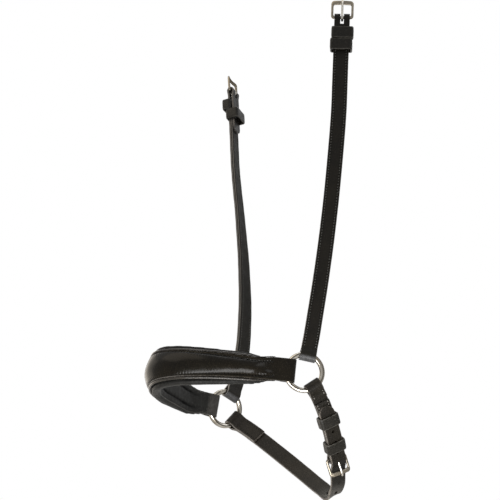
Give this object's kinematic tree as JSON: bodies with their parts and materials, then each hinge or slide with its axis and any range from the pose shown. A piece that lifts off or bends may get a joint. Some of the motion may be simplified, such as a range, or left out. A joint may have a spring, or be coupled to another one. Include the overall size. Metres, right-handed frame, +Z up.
{
  "type": "padded drop noseband",
  "caption": "Padded drop noseband for a bridle: raised nosepiece between two rings, a buckled cheek strap up from each ring, and a buckled chin strap below.",
  "frame": {"origin": "middle of the nosepiece's soft inner face, where it rests on the nose", "axes": "-X the way the horse looks, -Y the near (left) side, +Z up along the cheek straps"},
  "size_m": [0.2101, 0.255, 0.5084],
  "materials": {
    "nose_face_panel": "smooth black leather",
    "nose_raised_filler": "dense dark padding",
    "nose_backing_strap": "smooth black leather",
    "nose_piping_upper": "smooth black leather",
    "nose_piping_lower": "smooth black leather",
    "nose_pad_foam": "dense dark padding",
    "nose_pad_lining": "soft matt black lining leather",
    "near_ring": "polished nickel-plated steel",
    "near_cheek_strap": "smooth black leather",
    "near_cheek_lining": "soft matt black lining leather",
    "near_fixed_keeper": "smooth black leather",
    "near_runner_keeper": "smooth black leather",
    "near_cheek_buckle_frame": "polished nickel-plated steel",
    "near_cheek_buckle_tongue": "polished nickel-plated steel",
    "far_ring": "polished nickel-plated steel",
    "far_cheek_strap": "smooth black leather",
    "far_cheek_lining": "soft matt black lining leather",
    "far_fixed_keeper": "smooth black leather",
    "far_runner_keeper": "smooth black leather",
    "far_cheek_buckle_frame": "polished nickel-plated steel",
    "far_cheek_buckle_tongue": "polished nickel-plated steel",
    "chin_chape": "smooth black leather",
    "chin_strap": "smooth black leather",
    "chin_fixed_keeper": "smooth black leather",
    "chin_runner_keeper": "smooth black leather",
    "chin_buckle_frame": "polished nickel-plated steel",
    "chin_buckle_tongue": "polished nickel-plated steel"
  },
  "bodies": {
    "nosepiece": {"nose_face_panel": "nose_face_panel", "nose_raised_filler": "nose_raised_filler", "nose_backing_strap": "nose_backing_strap", "nose_piping_upper": "nose_piping_upper", "nose_piping_lower": "nose_piping_lower", "nose_pad_foam": "nose_pad_foam", "nose_pad_lining": "nose_pad_lining"},
    "near_ring": {"near_ring": "near_ring"},
    "near_cheek": {"near_cheek_strap": "near_cheek_strap", "near_cheek_lining": "near_cheek_lining", "near_fixed_keeper": "near_fixed_keeper"},
    "near_runner": {"near_runner_keeper": "near_runner_keeper"},
    "near_buckle": {"near_cheek_buckle_frame": "near_cheek_buckle_frame"},
    "near_tongue": {"near_cheek_buckle_tongue": "near_cheek_buckle_tongue"},
    "far_ring": {"far_ring": "far_ring"},
    "far_cheek": {"far_cheek_strap": "far_cheek_strap", "far_cheek_lining": "far_cheek_lining", "far_fixed_keeper": "far_fixed_keeper"},
    "far_runner": {"far_runner_keeper": "far_runner_keeper"},
    "far_buckle": {"far_cheek_buckle_frame": "far_cheek_buckle_frame"},
    "far_tongue": {"far_cheek_buckle_tongue": "far_cheek_buckle_tongue"},
    "chin": {"chin_chape": "chin_chape", "chin_strap": "chin_strap", "chin_fixed_keeper": "chin_fixed_keeper"},
    "chin_runner": {"chin_runner_keeper": "chin_runner_keeper"},
    "chin_buckle": {"chin_buckle_frame": "chin_buckle_frame"},
    "chin_tongue": {"chin_buckle_tongue": "chin_buckle_tongue"}
  },
  "joints": [
    {"name": "near_ring_turn", "type": "hinge", "parent": "nosepiece", "child": "near_ring", "pos_m": [0.1132, -0.0805, -0.005], "axis": [-0.4008, -0.9002, -0.1702], "range_deg": [-20, 9]},
    {"name": "near_cheek_swing", "type": "hinge", "parent": "near_ring", "child": "near_cheek", "pos_m": [0.1151, -0.08462, 0.01231], "axis": [0.91, -0.3696, -0.188], "range_deg": [-8, 20]},
    {"name": "near_runner_slide", "type": "slide", "parent": "near_cheek", "child": "near_runner", "axis": [-0.0299, -0.1343, 0.9905], "range_m": [-0.04, 0]},
    {"name": "near_buckle_hinge", "type": "hinge", "parent": "near_cheek", "child": "near_buckle", "pos_m": [0.14346, -0.1126, 0.3749], "axis": [0.8357, -0.5469, -0.049], "range_deg": [-45, 45]},
    {"name": "near_tongue_hinge", "type": "hinge", "parent": "near_buckle", "child": "near_tongue", "pos_m": [0.14346, -0.1126, 0.3749], "axis": [0.8357, -0.5469, -0.049], "range_deg": [0, 75]},
    {"name": "far_ring_turn", "type": "hinge", "parent": "nosepiece", "child": "far_ring", "pos_m": [0.1132, 0.0805, -0.005], "axis": [0.0172, -0.9853, -0.1702], "range_deg": [-20, 12]},
    {"name": "far_cheek_swing", "type": "hinge", "parent": "far_ring", "child": "far_cheek", "pos_m": [0.11995, 0.07779, 0.01135], "axis": [-0.9259, -0.0799, 0.3691], "range_deg": [-8, 20]},
    {"name": "far_runner_slide", "type": "slide", "parent": "far_cheek", "child": "far_runner", "axis": [0.0268, 0.1314, 0.991], "range_m": [-0.04, 0]},
    {"name": "far_buckle_hinge", "type": "hinge", "parent": "far_cheek", "child": "far_buckle", "pos_m": [0.14362, 0.1187, 0.3748], "axis": [-0.7853, -0.6106, 0.1022], "range_deg": [-45, 45]},
    {"name": "far_tongue_hinge", "type": "hinge", "parent": "far_buckle", "child": "far_tongue", "pos_m": [0.14362, 0.1187, 0.3748], "axis": [-0.7853, -0.6106, 0.1022], "range_deg": [0, 75]},
    {"name": "chin_swing", "type": "hinge", "parent": "nosepiece", "child": "chin", "pos_m": [0.1132, 0, -0.005], "axis": [0, 1, 0], "range_deg": [-4, 4]},
    {"name": "chin_runner_slide", "type": "slide", "parent": "chin", "child": "chin_runner", "axis": [0.5396, 0.3984, -0.7417], "range_m": [-0.003, 0.0035]},
    {"name": "chin_buckle_hinge", "type": "hinge", "parent": "chin", "child": "chin_buckle", "pos_m": [0.16971, -0.04728, -0.07776], "axis": [-0.8908, 0.2065, -0.4048], "range_deg": [0, 5]},
    {"name": "chin_tongue_hinge", "type": "hinge", "parent": "chin_buckle", "child": "chin_tongue", "pos_m": [0.16971, -0.04728, -0.07776], "axis": [-0.8908, 0.2065, -0.4048], "range_deg": [0, 3.5]}
  ]
}
